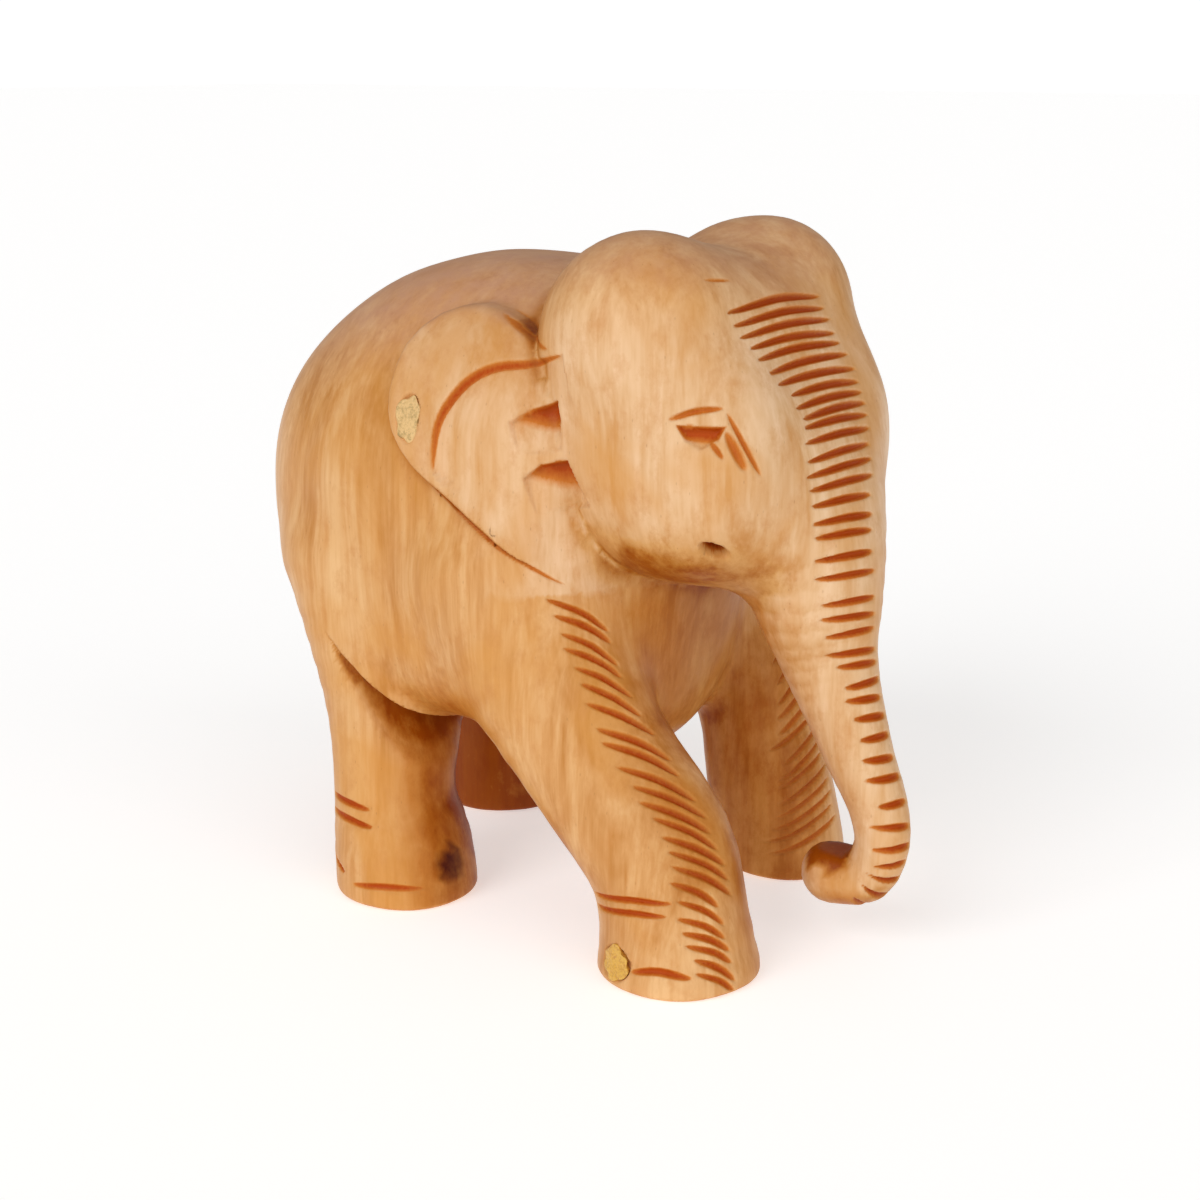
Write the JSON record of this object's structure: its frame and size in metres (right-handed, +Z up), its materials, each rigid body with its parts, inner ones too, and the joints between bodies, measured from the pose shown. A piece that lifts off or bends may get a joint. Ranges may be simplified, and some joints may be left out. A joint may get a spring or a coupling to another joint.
{
  "type": "elephant figurine",
  "caption": "Standing elephant figurine carved from solid wood, trunk lowered and curled at its tip, with low-relief ears, gouge-cut lines and small filler plugs.",
  "frame": {"origin": "on the ground plane, under the centre of the figure's bounding box", "axes": "+Z up, the elephant looks along -Y, its right side is at -X"},
  "size_m": [0.0642, 0.1086, 0.1],
  "materials": {
    "carved_wood": "satin, lightly waxed",
    "pale_filler": "matte hardened wood filler",
    "olive_filler": "matte hardened wood filler"
  },
  "bodies": {
    "root": {"carved_body": "carved_wood", "foot_filler": "pale_filler", "ear_filler": "olive_filler"}
  },
  "joints": []
}
